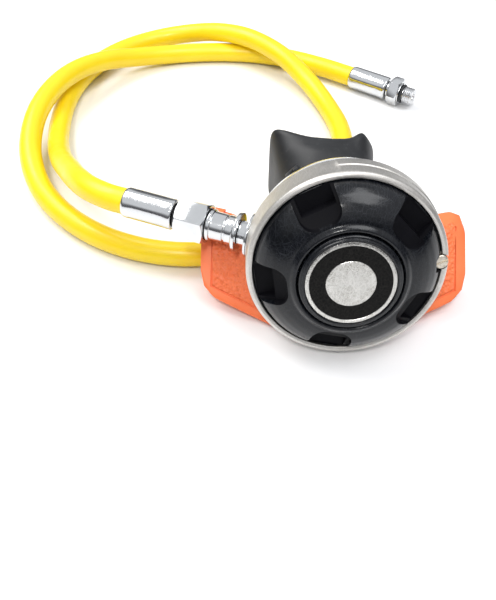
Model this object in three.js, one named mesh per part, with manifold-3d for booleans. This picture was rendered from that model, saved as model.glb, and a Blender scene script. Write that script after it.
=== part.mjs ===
// Scuba regulator second stage with its low-pressure hose.
// Millimetres, +Z up, the table at z = 0, the purge cover facing -Y.
import * as THREE from 'three';
import { mergeVertices } from 'three/addons/utils/BufferGeometryUtils.js';
import Module from 'manifold-3d';

const wasm = await Module();
wasm.setup();

// ---------- driving dimensions ----------
const HEAD_HEIGHT = 40.9; // case axis above the table, at the front of the retaining ring
const FRONT_TO_REST = 24; // from the ring's front lip back to the middle of the tee's flat base
const HEAD_TILT = THREE.MathUtils.degToRad(15.8); // the face looks up by this much
const RING_RADIUS = 38;
const RING_DEPTH = 13.9;
const LIP_RADIUS = 35.5; // opening in the ring's front lip
const CASE_RADIUS = 36.1;
const CASE_MIDDLE = 18; // where the case's rounded back begins
const CASE_BULGE = 26; // depth of the rounded back
const CASE_WALL = 1.5;
const COVER_RISE = 10.8; // how far the cover's raised rim stands proud of the ring
const BUTTON_RADIUS = 19.1;
const LABEL_RADIUS = 16.7;
const PORT_COUNT = 5;
const PORT_TURN = THREE.MathUtils.degToRad(45); // direction of the first water port
const PORT_HALF_WIDTH = 7.9;
const PORT_INNER = 22.9; // radius where each port closes
const PORT_FALL = THREE.MathUtils.degToRad(31.8); // slope of each port's floor
const SCREW_ANGLE = THREE.MathUtils.degToRad(6);
const SCREW_CENTRE = 34.9;
const SCREW_RADIUS = 2.9;
const NOTCH_RADIUS = 3.4; // bite in ring and cover around the screw
const INLET_BACK = 13; // where the inlet axis crosses the middle plane, behind the ring's face
const INLET_DROP = -3.1;
const INLET_SWEEP = THREE.MathUtils.degToRad(19.5);
const INLET_RISE = THREE.MathUtils.degToRad(6.4);
const CASE_EXIT = 37.2; // along the inlet axis, outer end of the case's boss
const NUT_ACROSS_FLATS = 15.9;
const ADAPTER_END = 63;
const NUT_START = 56.4;
const NUT_END = 69.4;
const FERRULE_START = 71.4;
const FERRULE_END = 94;
const FERRULE_RADIUS = 6.5;
const HOSE_RADIUS = 5.6;
const NECK_HEIGHT = 5; // mouthpiece tube above the case axis
const EXHAUST_TILT = THREE.MathUtils.degToRad(35); // slope of the exhaust seat
const EXHAUST_SEAT = [0, 32.5, -22.5]; // middle of the exhaust seat
const PITCH_GAP = 0.3; // clearance between touching pieces

// Free hose centreline from the near ferrule to the far one, measured back from the ring's lip.
const HOSE_ROUTE = [
  [-88.4, 44.5, 35.4], [-95.4, 47.1, 35.5], [-104.5, 53.7, 34.5], [-111.6, 63.2, 31.6],
  [-120.2, 80.5, 24.8], [-129, 101, 16.2], [-136, 123.5, 9.5], [-140, 147, 6.5], [-141, 171, 6],
  [-138, 195, 6], [-129, 219, 6], [-114.5, 239, 6], [-96, 251, 7],
  [-75, 252.5, 10.5], [-54, 243.5, 16], [-34.5, 230.5, 18.5], [-15.5, 214, 16],
  [-0.5, 195.5, 10], [9.5, 174, 6.5], [15, 150.5, 6], [15, 126, 6],
  [10, 102.5, 6], [-1, 80.5, 6], [-17, 62.5, 6], [-37, 50, 6],
  [-59.5, 44.5, 6], [-82.5, 46.5, 6], [-104.5, 55.5, 6], [-124.5, 71.5, 6],
  [-139.5, 91.5, 7], [-148.5, 115, 11], [-150, 139.5, 16], [-145.5, 163.5, 18.5],
  [-136, 186.5, 18], [-123, 205.5, 14.5], [-107, 220.5, 9.5], [-87, 231, 6.5],
  [-64, 236, 6], [-39, 236.5, 6], [-15, 231, 6.5], [7.5, 219.5, 7.2], [27.7, 206, 7.6],
];

// ---------- materials ----------
const finish = (color, roughness, metalness) =>
  new THREE.MeshStandardMaterial({ color, roughness, metalness });
const GLOSS_BLACK = finish(0x16181c, 0.18, 0);
const CHROME = finish(0xd8dadc, 0.12, 1);
const SATIN_METAL = finish(0xa9a49d, 0.42, 1);
const BRONZE_SCREW = finish(0xb5aa98, 0.4, 1);
const LABEL_METAL = finish(0xb9b4aa, 0.3, 1);
const ORANGE_RUBBER = finish(0xf0703c, 0.5, 0);
const BLACK_SILICONE = finish(0x2a2c2e, 0.55, 0);
const CLEAR_SILICONE = finish(0xb9b8b0, 0.5, 0);
const BLACK_RUBBER = finish(0x141414, 0.6, 0);
const YELLOW_HOSE = finish(0xf7e21c, 0.4, 0);
const WHITE_PLASTIC = finish(0xe6e4dc, 0.45, 0);
const STEEL = finish(0xbfc1c2, 0.25, 1);

// ---------- solids ----------
// A closed geometry as a manifold solid, with its faces turned outward.
function solid(geometry) {
  const bare = geometry.clone();
  for (const name of Object.keys(bare.attributes)) {
    if (name !== 'position') bare.deleteAttribute(name);
  }
  const welded = mergeVertices(bare, 1e-4);
  const points = welded.attributes.position.array;
  const faces = [...welded.index.array];
  const kept = [];
  let volume = 0;
  for (let i = 0; i < faces.length; i += 3) {
    const [a, b, c] = [faces[i], faces[i + 1], faces[i + 2]];
    if (a === b || b === c || c === a) continue;
    kept.push(a, b, c);
    const [p, q, r] = [a, b, c].map((k) => new THREE.Vector3().fromArray(points, 3 * k));
    volume += p.dot(q.cross(r));
  }
  if (volume < 0) kept.reverse();
  return new wasm.Manifold(new wasm.Mesh({
    numProp: 3,
    vertProperties: new Float32Array(points),
    triVerts: new Uint32Array(kept),
  }));
}

function toGeometry(manifold) {
  const mesh = manifold.getMesh();
  const geometry = new THREE.BufferGeometry();
  geometry.setAttribute('position', new THREE.BufferAttribute(mesh.vertProperties, 3));
  geometry.setIndex(new THREE.BufferAttribute(mesh.triVerts, 1));
  return geometry;
}

const join = (first, ...rest) => rest.reduce((sum, piece) => sum.add(piece), first);
const cut = (first, ...rest) => rest.reduce((left, piece) => left.subtract(piece), first);

// Solid turned about Y from [radius, y] pairs. A profile off the axis closes on itself.
function lathe(profile, segments = 20) {
  const points = profile.map(([radius, y]) => new THREE.Vector2(radius, y));
  if (profile[0][0] > 0) points.push(points[0].clone());
  return solid(new THREE.LatheGeometry(points, segments));
}

// Round bar along Y, or a prism when sides is small.
function bar(radius, from, to, { sides = 24, x = 0, z = 0, turn = 0 } = {}) {
  const geometry = new THREE.CylinderGeometry(radius, radius, to - from, sides);
  geometry.rotateY(turn);
  geometry.translate(x, (from + to) / 2, z);
  return solid(geometry);
}

function block(size, centre, rotation = [0, 0, 0]) {
  const geometry = new THREE.BoxGeometry(...size);
  geometry.rotateX(rotation[0]);
  geometry.rotateY(rotation[1]);
  geometry.rotateZ(rotation[2]);
  geometry.translate(...centre);
  return solid(geometry);
}

// Flat outline in X and Z, given depth along +Y from a start.
function plate(shape, from, to, curveSegments = 8) {
  const geometry = new THREE.ExtrudeGeometry(shape, {
    depth: to - from, bevelEnabled: false, curveSegments,
  });
  geometry.rotateX(Math.PI / 2);
  geometry.translate(0, to, 0);
  return solid(geometry);
}

// Skin over closed rings of points that all have the same count.
// When closed is true the last ring joins the first, which makes a sleeve.
function loft(rings, closed = false) {
  const count = rings[0].length;
  const positions = rings.flat(2);
  const faces = [];
  const spans = closed ? rings.length : rings.length - 1;
  for (let i = 0; i < spans; i += 1) {
    const here = i * count;
    const next = ((i + 1) % rings.length) * count;
    for (let j = 0; j < count; j += 1) {
      const k = (j + 1) % count;
      faces.push(here + j, here + k, next + k, here + j, next + k, next + j);
    }
  }
  if (!closed) {
    const last = (rings.length - 1) * count;
    for (let j = 1; j < count - 1; j += 1) {
      faces.push(0, j + 1, j, last, last + j, last + j + 1);
    }
  }
  const geometry = new THREE.BufferGeometry();
  geometry.setAttribute('position', new THREE.Float32BufferAttribute(positions, 3));
  geometry.setIndex(faces);
  return solid(geometry);
}

function tube(curve, radius, sides, steps) {
  const circle = new THREE.Shape();
  circle.absarc(0, 0, radius, 0, 2 * Math.PI, false);
  const geometry = new THREE.ExtrudeGeometry(circle, {
    steps, curveSegments: sides / 2, bevelEnabled: false, extrudePath: curve,
  });
  return solid(geometry);
}

// A wire spring about Y.
function spring(radius, wire, from, to, turns) {
  const points = [];
  const steps = turns * 12;
  for (let i = 0; i <= steps; i += 1) {
    const angle = (2 * Math.PI * i) / 12;
    const y = from + ((to - from) * i) / steps;
    points.push(new THREE.Vector3(radius * Math.cos(angle), y, radius * Math.sin(angle)));
  }
  return tube(new THREE.CatmullRomCurve3(points), wire, 6, steps);
}

// ---------- scene graph ----------
const part = new THREE.Group();
part.position.set(0, -FRONT_TO_REST, 0);

const head = new THREE.Group(); // upright second stage: front -Y, tilted back as it lies
head.position.set(0, 0, HEAD_HEIGHT);
head.rotation.x = -HEAD_TILT;
part.add(head);

const inletAxis = new THREE.Vector3(-1, Math.tan(INLET_SWEEP), Math.tan(INLET_RISE)).normalize();
const inlet = new THREE.Group(); // +Y runs out of the case along the inlet
const inletUp = new THREE.Vector3(0, 0, 1).addScaledVector(inletAxis, -inletAxis.z).normalize();
const inletSide = new THREE.Vector3().crossVectors(inletAxis, inletUp);
inlet.position.set(0, INLET_BACK, INLET_DROP);
inlet.quaternion.setFromRotationMatrix(
  new THREE.Matrix4().makeBasis(inletSide, inletAxis, inletUp),
);
head.add(inlet);

function place(group, name, manifold, material) {
  const mesh = new THREE.Mesh(toGeometry(manifold), material);
  mesh.name = name;
  group.add(mesh);
  return mesh;
}

// A solid made about the inlet axis, moved into the head's own space.
function inletToHead(manifold) {
  inlet.updateMatrix();
  return manifold.transform(inlet.matrix.toArray());
}

// ---------- case ----------
// Radius of the rounded case at a depth behind the ring's face, grown by extra.
function caseProfile(extra, front) {
  const profile = [[0, front], [CASE_RADIUS + extra, front]];
  const steps = 6;
  for (let i = 0; i <= steps; i += 1) {
    const angle = (Math.PI / 2) * (i / steps);
    profile.push([
      (CASE_RADIUS + extra) * Math.cos(angle),
      CASE_MIDDLE + (CASE_BULGE + extra) * Math.sin(angle),
    ]);
  }
  profile[profile.length - 1][0] = 0;
  return profile;
}

// Everything behind and below the sloping exhaust seat, moved out by extra.
function belowSeat(extra) {
  const depth = 60;
  const away = depth / 2 + extra;
  const centre = [
    0,
    EXHAUST_SEAT[1] + away * Math.sin(EXHAUST_TILT),
    EXHAUST_SEAT[2] - away * Math.cos(EXHAUST_TILT),
  ];
  return block([120, 120, depth], centre, [EXHAUST_TILT, 0, 0]);
}

function caseBody(extra, front) {
  return cut(lathe(caseProfile(extra, front), 36), belowSeat(extra));
}

// Oval bar along Y for the mouthpiece tube.
function oval(halfWidth, halfHeight, from, to) {
  const geometry = new THREE.CylinderGeometry(1, 1, to - from, 32);
  geometry.scale(halfWidth, 1, halfHeight);
  geometry.translate(0, (from + to) / 2, NECK_HEIGHT);
  return solid(geometry);
}

// Round bar square to the exhaust seat, from one distance off it to another.
function seatBar(radius, from, to, sides = 24) {
  const geometry = new THREE.CylinderGeometry(radius, radius, to - from, sides);
  geometry.rotateX(Math.PI / 2 + EXHAUST_TILT);
  const middle = (from + to) / 2;
  geometry.translate(
    EXHAUST_SEAT[0],
    EXHAUST_SEAT[1] + middle * Math.sin(EXHAUST_TILT),
    EXHAUST_SEAT[2] - middle * Math.cos(EXHAUST_TILT),
  );
  return solid(geometry);
}

const VALVE_RADIUS = 11.5;

function makeCase() {
  const boss = inletToHead(bar(9.4, 28, CASE_EXIT));
  const shell = join(caseBody(0, 4.1), boss, oval(16, 13.2, 34, 54));
  const inside = join(
    caseBody(-CASE_WALL, 2),
    oval(14.4, 11.6, 30, 56),
    inletToHead(bar(5.5, 20, 40)),
  );
  const spoke = block([2 * VALVE_RADIUS, 1.8, 3], EXHAUST_SEAT, [EXHAUST_TILT, 0, 0]);
  const ribs = cut(join(spoke, seatBar(2.6, -3, 1, 16)), seatBar(1.4, -4, 4, 12));
  const port = cut(seatBar(VALVE_RADIUS - 1.6, -4, 3), ribs);
  place(head, 'case', cut(shell, inside, port), CHROME);
}

// ---------- ring, cover, button ----------
const screwPlace = { x: SCREW_CENTRE * Math.cos(SCREW_ANGLE), z: SCREW_CENTRE * Math.sin(SCREW_ANGLE) };

function makeRing() {
  const ring = lathe([
    [LIP_RADIUS, 0.3], [RING_RADIUS - 1.4, 0], [RING_RADIUS - 0.4, 0.4], [RING_RADIUS, 1.4],
    [RING_RADIUS, RING_DEPTH], [CASE_RADIUS + PITCH_GAP, RING_DEPTH],
    [CASE_RADIUS + PITCH_GAP, 1.6], [LIP_RADIUS, 1.6],
  ], 40);
  place(head, 'retaining_ring', cut(ring, bar(NOTCH_RADIUS, -1, 4, screwPlace)), SATIN_METAL);
}

function makeScrew() {
  const screw = join(bar(SCREW_RADIUS, -0.4, 1.5, screwPlace), bar(1.1, 1.4, 3.5, { ...screwPlace, sides: 12 }));
  const slot = block([6.6, 0.9, 0.8], [screwPlace.x, -0.3, screwPlace.z], [0, -0.5, 0]);
  place(head, 'ring_lock_screw', cut(screw, slot), BRONZE_SCREW);
}

// U-shaped outline of one water port, open towards the rim.
function portShape(grow) {
  const half = PORT_HALF_WIDTH + grow;
  const inner = PORT_INNER - grow;
  const corner = 5.5 + grow;
  const shape = new THREE.Shape();
  shape.moveTo(40, -half - 0.8);
  shape.lineTo(40, half + 0.8);
  shape.lineTo(inner + corner, half);
  shape.absarc(inner + corner, half - corner, corner, Math.PI / 2, Math.PI, false);
  shape.absarc(inner + corner, -half + corner, corner, Math.PI, 1.5 * Math.PI, false);
  return shape;
}

function makeCover() {
  const top = -COVER_RISE;
  const outside = [
    [19.6, top + 0.5], [20.2, top], [21, top + 0.1], [22.4, top + 1.5], [25.5, top + 2.3],
    [29, top + 4], [32, top + 6.5], [34, top + 9], [35.1, top + 12],
  ];
  const cover = join(
    lathe([
      ...outside, [35.1, 1.9], [CASE_RADIUS, 1.9], [CASE_RADIUS, 3.6], [33, 3.6],
      [32.6, top + 10.4], [31, top + 8.2], [28.2, top + 6], [25, top + 4.4], [22, top + 3.6],
      [21.6, top + 10.8], [17.4, top + 10.8], [17.4, top + 9.4], [19.6, top + 9.4],
    ], 30),
  );
  const dome = lathe([[0, top], ...outside.slice(1), [35.1, 3], [0, 3]], 30);
  const tubs = [];
  const recesses = [];
  for (let i = 0; i < PORT_COUNT; i += 1) {
    const turn = [0, -(PORT_TURN + (2 * Math.PI * i) / PORT_COUNT), 0];
    const spin = (piece) => piece.rotate([0, THREE.MathUtils.radToDeg(turn[1]), 0]);
    tubs.push(spin(plate(portShape(1.4), top, 2.4, 4)));
    const ramp = block([60, 30, 40], [36.9, -15.6, 0], [0, 0, PORT_FALL]);
    const passage = block([6.8, 9, 13.4], [31.2, -3.4, 0]);
    recesses.push(spin(plate(portShape(0), top - 2, 6, 4).intersect(ramp).add(passage)));
  }
  const core = bar(21.8, top - 3, 4, { sides: 30 });
  const walls = join(...tubs).intersect(dome).subtract(core);
  const notch = bar(NOTCH_RADIUS, -4, 5, screwPlace);
  place(head, 'purge_cover', cut(cover.add(walls), ...recesses, notch), GLOSS_BLACK);
}

function makeButton() {
  const top = -COVER_RISE;
  const button = lathe([
    [0, top - 0.6], [LABEL_RADIUS + 0.3, top - 0.6], [LABEL_RADIUS + 0.4, top - 1.3],
    [17.9, top - 1.3], [18.5, top - 0.6], [BUTTON_RADIUS, top - 0.3], [BUTTON_RADIUS, top + 3.4],
    [15.4, top + 3.4], [15.4, top + 9.2], [14.2, top + 9.2], [14.2, top + 1.6], [3.4, top + 1.6],
    [3.4, 2.6], [0, 2.6],
  ], 30);
  place(head, 'purge_button', button, GLOSS_BLACK);
  const label = lathe([
    [0, top - 1.2], [LABEL_RADIUS - 0.2, top - 1.2], [LABEL_RADIUS, top - 0.9], [0, top - 0.9],
  ], 30);
  place(head, 'label_disc', label, LABEL_METAL);
  const coil = spring(18.2, 0.35, top + 6.9, top + 8.9, 2);
  place(head, 'purge_spring', coil, STEEL);
}

// ---------- diaphragm and its plate ----------
function makeDiaphragm() {
  const diaphragm = lathe([
    [13, 4.3], [20, 4.3], [22, 5.6], [25, 5.6], [27, 4.3], [32, 4.3], [32.6, 3.9], [34, 3.9],
    [34, 5.6], [32.6, 5.6], [32, 4.9], [27.4, 4.9], [25.4, 6.2], [21.6, 6.2], [19.6, 4.9], [13, 4.9],
  ], 24);
  place(head, 'diaphragm', diaphragm, CLEAR_SILICONE);
  const plateDisc = lathe([
    [0, 3.3], [6, 3.3], [6, 3.7], [12.6, 3.7], [12.6, 4.6], [3, 4.6], [3, 4.9], [0, 4.9],
  ], 20);
  place(head, 'diaphragm_plate', plateDisc, WHITE_PLASTIC);
}

// ---------- valve inside the case ----------
function makeValve() {
  const tubeWall = lathe([
    [3.8, 9], [5.2, 9], [5.2, 42.5], [2.8, 42.5], [2.8, 34.8], [3.8, 34.8],
    [3.8, 24.6], [1.6, 24.6], [1.6, 24], [3.8, 24],
  ], 24);
  const window = block([6, 15.6, 6.4], [-3.6, 15.2, 0]);
  place(inlet, 'valve_barrel', cut(tubeWall, window), CHROME);
  place(inlet, 'orifice_seat', lathe([
    [1.5, 34.5], [1.7, 31.9], [2, 31.9], [2.4, 32.6], [3.5, 32.8], [3.5, 34.5],
  ], 20), STEEL);
  place(inlet, 'poppet_seat', lathe([[0, 30.2], [2.6, 30.2], [2.6, 31.6], [0, 31.6]], 16), BLACK_RUBBER);
  place(inlet, 'poppet', lathe([
    [0, 12.4], [1.1, 12.4], [1.1, 27.6], [3.3, 27.6], [3.3, 31], [2.8, 31], [2.8, 29.9], [0, 29.9],
  ], 16), CHROME);
  place(inlet, 'poppet_spring', spring(2.5, 0.35, 25.3, 26.2, 1.5), STEEL);
  place(inlet, 'lever_washer', lathe([[1.4, 16.4], [3, 16.4], [3, 17], [1.4, 17]], 16), STEEL);
  place(inlet, 'lever_locknut', cut(
    bar(2.9, 13.6, 16.1, { sides: 6 }), bar(1.4, 13, 17, { sides: 16 }),
  ), STEEL);
}

// Bent arm from a fork in the barrel's window to the middle of the diaphragm.
function makeLever() {
  const fork = cut(
    block([8.6, 0.9, 5], [-1.7, 18.2, 0]),
    block([8.4, 3, 2.8], [-0.7, 18.2, 0]),
  );
  const shape = new THREE.Shape();
  shape.moveTo(-5.2, 18.65);
  shape.lineTo(-6.1, 18.65);
  shape.lineTo(-8.4, 3);
  shape.lineTo(-6.9, -1.5);
  shape.lineTo(-6.2, -1.3);
  shape.lineTo(-7.6, 3);
  shape.lineTo(-5.4, 17.75);
  const geometry = new THREE.ExtrudeGeometry(shape, { depth: 4, bevelEnabled: false });
  geometry.translate(0, 0, -2);
  place(inlet, 'demand_lever', join(fork, solid(geometry)), STEEL);
}

// ---------- inlet fittings ----------
const hexRadius = (acrossFlats) => acrossFlats / Math.sqrt(3);

// Hexagon along Y with its corners chamfered at the chosen ends.
function hexNut(acrossFlats, from, to, turn = 0) {
  const radius = hexRadius(acrossFlats);
  const flat = acrossFlats / 2;
  const corner = (radius - flat) * 0.6;
  const cone = lathe([
    [0, from], [flat, from], [radius + 0.1, from + corner + 0.1], [radius + 0.1, to - corner - 0.1],
    [flat, to], [0, to],
  ], 36);
  return bar(radius, from, to, { sides: 6, turn }).intersect(cone);
}

function makeInlet() {
  const jam = cut(
    join(hexNut(17.4, CASE_EXIT + 1.2, 42.5, 0.3), bar(9.2, CASE_EXIT + PITCH_GAP, CASE_EXIT + 1.3)),
    bar(5.5, 30, 50),
  );
  place(inlet, 'jam_nut', jam, CHROME);
  place(inlet, 'inlet_adapter', lathe([
    [3.6, 42.8], [8.2, 42.8], [8.2, 44.2], [7.6, 44.7], [6.1, 44.7], [6.1, 48], [5.6, 48],
    [5.6, 48.8], [6, 48.8], [6, 54.4], [6.7, 54.4], [6.7, 56], [6.3, 56.4], [6.3, ADAPTER_END],
    [3.6, ADAPTER_END],
  ]), CHROME);
  const nut = cut(
    hexNut(NUT_ACROSS_FLATS, NUT_START, NUT_END, -0.22),
    bar(6.8, NUT_START - 1, NUT_END - 2.8), bar(4.6, NUT_END - 4, NUT_END + 1),
  );
  place(inlet, 'swivel_nut', nut, CHROME);
  place(inlet, 'hose_stem', lathe([
    [1.8, 56.5], [3.3, 56.5], [3.3, 58], [2.7, 58], [2.7, 59.6], [3.3, 59.6], [3.3, 63.3],
    [6.2, 63.3], [6.2, 66.2], [4.3, 66.3], [4.3, FERRULE_START - PITCH_GAP],
    [1.8, FERRULE_START - PITCH_GAP],
  ], 24), CHROME);
  place(inlet, 'inlet_o_ring', lathe([
    [2.95, 58.4], [3.4, 58.4], [3.4, 59.2], [2.95, 59.2],
  ], 20), BLACK_RUBBER);
  place(inlet, 'near_ferrule', ferrule(FERRULE_START, FERRULE_END), CHROME);
}

function ferrule(from, to) {
  return lathe([
    [3, from], [FERRULE_RADIUS - 0.5, from], [FERRULE_RADIUS, from + 0.6],
    [FERRULE_RADIUS, to - 0.8], [FERRULE_RADIUS - 0.5, to], [3, to],
  ], 28);
}

// ---------- exhaust ----------
function makeExhaustValve() {
  const disc = join(
    seatBar(VALVE_RADIUS + 0.6, 0.3, 1.1, 32),
    seatBar(1, -1.2, 1.6, 12),
  );
  place(head, 'exhaust_valve', disc, CLEAR_SILICONE);
}

// Height in the head's space of a point that rests on the table at a given depth.
const tableHeight = (depth, above = 0) =>
  (above - HEAD_HEIGHT + depth * Math.sin(HEAD_TILT)) / Math.cos(HEAD_TILT);

// Half of the tee's sections from the middle to the tip: distance out, then four corners in
// depth and height going round from the lower front edge.
const TEE_SECTIONS = [
  { out: 10, corners: [[21, tableHeight(21, 0)], [20, -24], [44, -14], [46, tableHeight(46, 0)]] },
  { out: 26.5, corners: [[16, tableHeight(16, 0.6)], [28, -12], [42, -6], [44, tableHeight(44, 2)]] },
  { out: 46, corners: [[22.4, -30.6], [39, -1], [50, 3], [43, -27]] },
  { out: 51, corners: [[24, -28.6], [41, 0.5], [50.5, 3.8], [43, -25.5]] },
  { out: 55, corners: [[26.5, -24.5], [41.5, -0.4], [49.5, 2.6], [42, -22]] },
  { out: 56.5, corners: [[30, -19], [41, -3], [46, -1.2], [41, -18]] },
];

// Rounded outline through four corners, with inset for the duct inside.
function teeRing(x, corners, inset) {
  const middle = corners.reduce((sum, [y, z]) => [sum[0] + y / 4, sum[1] + z / 4], [0, 0]);
  const ring = [];
  for (let i = 0; i < 4; i += 1) {
    const here = corners[i];
    const before = corners[(i + 3) % 4];
    const after = corners[(i + 1) % 4];
    for (const other of [before, after]) {
      const reach = Math.hypot(other[0] - here[0], other[1] - here[1]);
      const round = Math.min(2.5, reach / 3) / reach;
      let y = here[0] + (other[0] - here[0]) * round;
      let z = here[1] + (other[1] - here[1]) * round;
      const away = Math.hypot(y - middle[0], z - middle[1]);
      const scale = (away - inset) / away;
      y = middle[0] + (y - middle[0]) * scale;
      z = middle[1] + (z - middle[1]) * scale;
      ring.push([x, y, z]);
    }
  }
  return ring;
}

function makeTee() {
  const mirrored = [...TEE_SECTIONS].reverse();
  const rings = (inset, ends) => [
    ...mirrored.slice(ends).map(({ out, corners }) => teeRing(-out, corners, inset)),
    ...TEE_SECTIONS.slice(0, TEE_SECTIONS.length - ends)
      .map(({ out, corners }) => teeRing(out, corners, inset)),
  ];
  const body = loft(rings(0, 0));
  const duct = loft(rings(2.6, 2));
  const clearance = join(
    caseBody(0.7, -5),
    lathe([[0, -5], [RING_RADIUS + 0.8, -5], [RING_RADIUS + 0.8, RING_DEPTH + 0.8], [0, RING_DEPTH + 0.8]], 36),
    oval(21, 18.2, 40, 70),
    inletToHead(bar(10.4, 30, 78)),
    inletToHead(block([50, 30, 40], [16, 41, 18])), // relief behind and above the fittings
  );
  const collar = cut(seatBar(VALVE_RADIUS + 3.4, 1, 8, 28), seatBar(VALVE_RADIUS + 1.6, -1, 9, 28));
  const outlets = [-1, 1].map((side) =>
    block([12, 14, 9], [side * 43.5, 44, -16.5], [0.2, 0, 0]));
  const portWay = seatBar(VALVE_RADIUS + 1.6, -2, 4, 28);
  const aboveTable = block(
    [200, 200, 100], [0, 27 + 50 * Math.sin(-HEAD_TILT), tableHeight(27) + 50 * Math.cos(HEAD_TILT)],
    [HEAD_TILT, 0, 0],
  );
  const shell = cut(join(body, collar), clearance).intersect(aboveTable);
  const tee = cut(shell, duct, portWay, ...outlets);
  place(head, 'exhaust_tee', tee, ORANGE_RUBBER);
}

// ---------- mouthpiece ----------
// Oval section, fuller on one side; power sets how square each side is.
// The flange's upper corners rise by lift: a long horn on the left, a small nub on the right.
function mouthRing(y, left, right, halfHeight, middle, squareness, bow, lift = 0) {
  const ring = [];
  const count = 28;
  for (let i = 0; i < count; i += 1) {
    const angle = (2 * Math.PI * i) / count;
    const [c, s] = [Math.cos(angle), Math.sin(angle)];
    const half = c < 0 ? left : right;
    const power = 2 / (c < 0 ? squareness : Math.max(2, squareness - 0.8));
    const x = half * Math.sign(c) * Math.abs(c) ** power;
    const horn = c < 0 ? (-x / 27) ** 3 : 0.55 * Math.exp(-(((x - 13) / 3.5) ** 2));
    const z = halfHeight * Math.sign(s) * Math.abs(s) ** power + (s > 0 ? lift * horn : 0);
    ring.push([x, y + bow * x * x, middle + z]);
  }
  return ring;
}

function makeMouthpiece() {
  const bow = 0.016;
  const outside = [
    mouthRing(46.5, 18.4, 18.4, 15.6, NECK_HEIGHT, 2, 0),
    mouthRing(49, 18.4, 18.4, 15.6, NECK_HEIGHT, 2, 0),
    mouthRing(49.6, 17.6, 17.6, 14.8, NECK_HEIGHT, 2, 0),
    mouthRing(53.4, 17.6, 17.6, 14.8, NECK_HEIGHT, 2, 0),
    mouthRing(54, 18.6, 18.6, 15.8, NECK_HEIGHT, 2, 0),
    mouthRing(59, 21, 19.5, 19, 6.5, 2.2, 0.002),
    mouthRing(64, 24.4, 19.5, 17.6, 9, 3.4, bow / 2, 2.5),
    mouthRing(67, 27.2, 20, 18.6, 9.6, 5, bow, 5),
    mouthRing(69, 27.2, 20, 18.6, 9.6, 5, bow, 5),
  ];
  const inside = [
    mouthRing(69.2, 25.2, 18, 16.6, 9.6, 4.4, bow, 4.5),
    mouthRing(67, 13, 13, 8, 7, 2, bow),
    mouthRing(60, 13, 13, 8.5, 6, 2, 0),
    mouthRing(54.3, 14, 14, 11, NECK_HEIGHT, 2, 0),
    mouthRing(54.3, 16.3, 16.3, 13.5, NECK_HEIGHT, 2, 0),
    mouthRing(46.5, 16.3, 16.3, 13.5, NECK_HEIGHT, 2, 0),
  ];
  const tabs = [-1, 1].map((side) => join(
    block([4.4, 14, 11], [side * 17, 78, 8], [0, 0, side * -0.12]),
    block([7, 2.6, 14], [side * 17.6, 84, 8], [0, 0, side * -0.12]),
  ));
  const body = join(loft([...outside, ...inside], true), ...tabs);
  place(head, 'mouthpiece', body, BLACK_SILICONE);
}

function makeTie() {
  const band = cut(oval(18.9, 16.1, 50, 53), oval(17.95, 15.15, 49, 54));
  const lock = block([6, 4, 7], [-16.8, 52, 17], [0, Math.PI / 4, 0]);
  place(head, 'cable_tie', cut(join(band, lock), oval(17.95, 15.15, 48, 55)), BLACK_RUBBER);
}

// ---------- hose and its far end ----------
const route = HOSE_ROUTE.map((point) => new THREE.Vector3(...point));
const hoseCurve = new THREE.CatmullRomCurve3(route, false, 'centripetal');

function makeHose() {
  place(part, 'hose', tube(hoseCurve, HOSE_RADIUS, 10, 76), YELLOW_HOSE);
}

function makeFarEnd() {
  const far = new THREE.Group(); // +Y runs out of the hose's end
  const end = route[route.length - 1];
  const direction = new THREE.Vector3(0.832, -0.555, 0).normalize();
  far.position.copy(end).addScaledVector(direction, PITCH_GAP);
  far.quaternion.setFromUnitVectors(new THREE.Vector3(0, 1, 0), direction);
  part.add(far);
  place(far, 'far_ferrule', ferrule(0, 24), CHROME);
  place(far, 'first_stage_fitting', join(
    hexNut(14.3, 26, 32.4, Math.PI / 6),
    lathe([
      [1.8, 24.3], [4.6, 24.3], [4.6, 26.2], [5.8, 32], [5.8, 32.9], [4, 32.9], [4, 34.6],
      [4.7, 34.8], [4.7, 39.9], [4.1, 40.6], [1.8, 40.6],
    ]),
  ).subtract(bar(1.8, 20, 45, { sides: 20 })), CHROME);
  place(far, 'first_stage_o_ring', lathe([
    [4.3, 33.2], [5.1, 33.2], [5.4, 33.6], [5.1, 34.2], [4.3, 34.2],
  ], 24), BLACK_RUBBER);
}

makeCase();
makeRing();
makeScrew();
makeCover();
makeButton();
makeDiaphragm();
makeValve();
makeLever();
makeInlet();
makeExhaustValve();
makeTee();
makeMouthpiece();
makeTie();
makeHose();
makeFarEnd();

export default part;
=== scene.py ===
"""Looks of a scuba regulator second stage and its hose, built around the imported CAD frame."""
import math

import bmesh
import bpy
from mathutils import Matrix, Vector


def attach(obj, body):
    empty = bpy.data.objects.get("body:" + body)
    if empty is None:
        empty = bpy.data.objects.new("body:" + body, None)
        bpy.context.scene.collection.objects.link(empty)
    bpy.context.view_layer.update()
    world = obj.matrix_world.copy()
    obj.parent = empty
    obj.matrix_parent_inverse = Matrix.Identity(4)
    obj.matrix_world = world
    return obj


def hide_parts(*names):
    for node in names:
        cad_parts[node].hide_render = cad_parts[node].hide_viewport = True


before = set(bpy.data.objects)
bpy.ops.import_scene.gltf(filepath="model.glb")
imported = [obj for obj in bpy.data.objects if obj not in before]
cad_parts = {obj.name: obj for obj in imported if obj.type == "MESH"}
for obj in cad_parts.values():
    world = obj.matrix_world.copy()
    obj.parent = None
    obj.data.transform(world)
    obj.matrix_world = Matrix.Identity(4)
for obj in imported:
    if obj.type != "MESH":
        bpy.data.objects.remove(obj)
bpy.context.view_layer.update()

MM = 0.001
FRONT_TO_REST = 24.0  # from the ring's front lip back to the middle of the tee's flat base
HEAD_HEIGHT = 40.9
HEAD_TILT = math.radians(15.8)
INLET_SWEEP = math.radians(19.5)
INLET_RISE = math.radians(6.4)
SEAT_TILT = math.radians(35)
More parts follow.
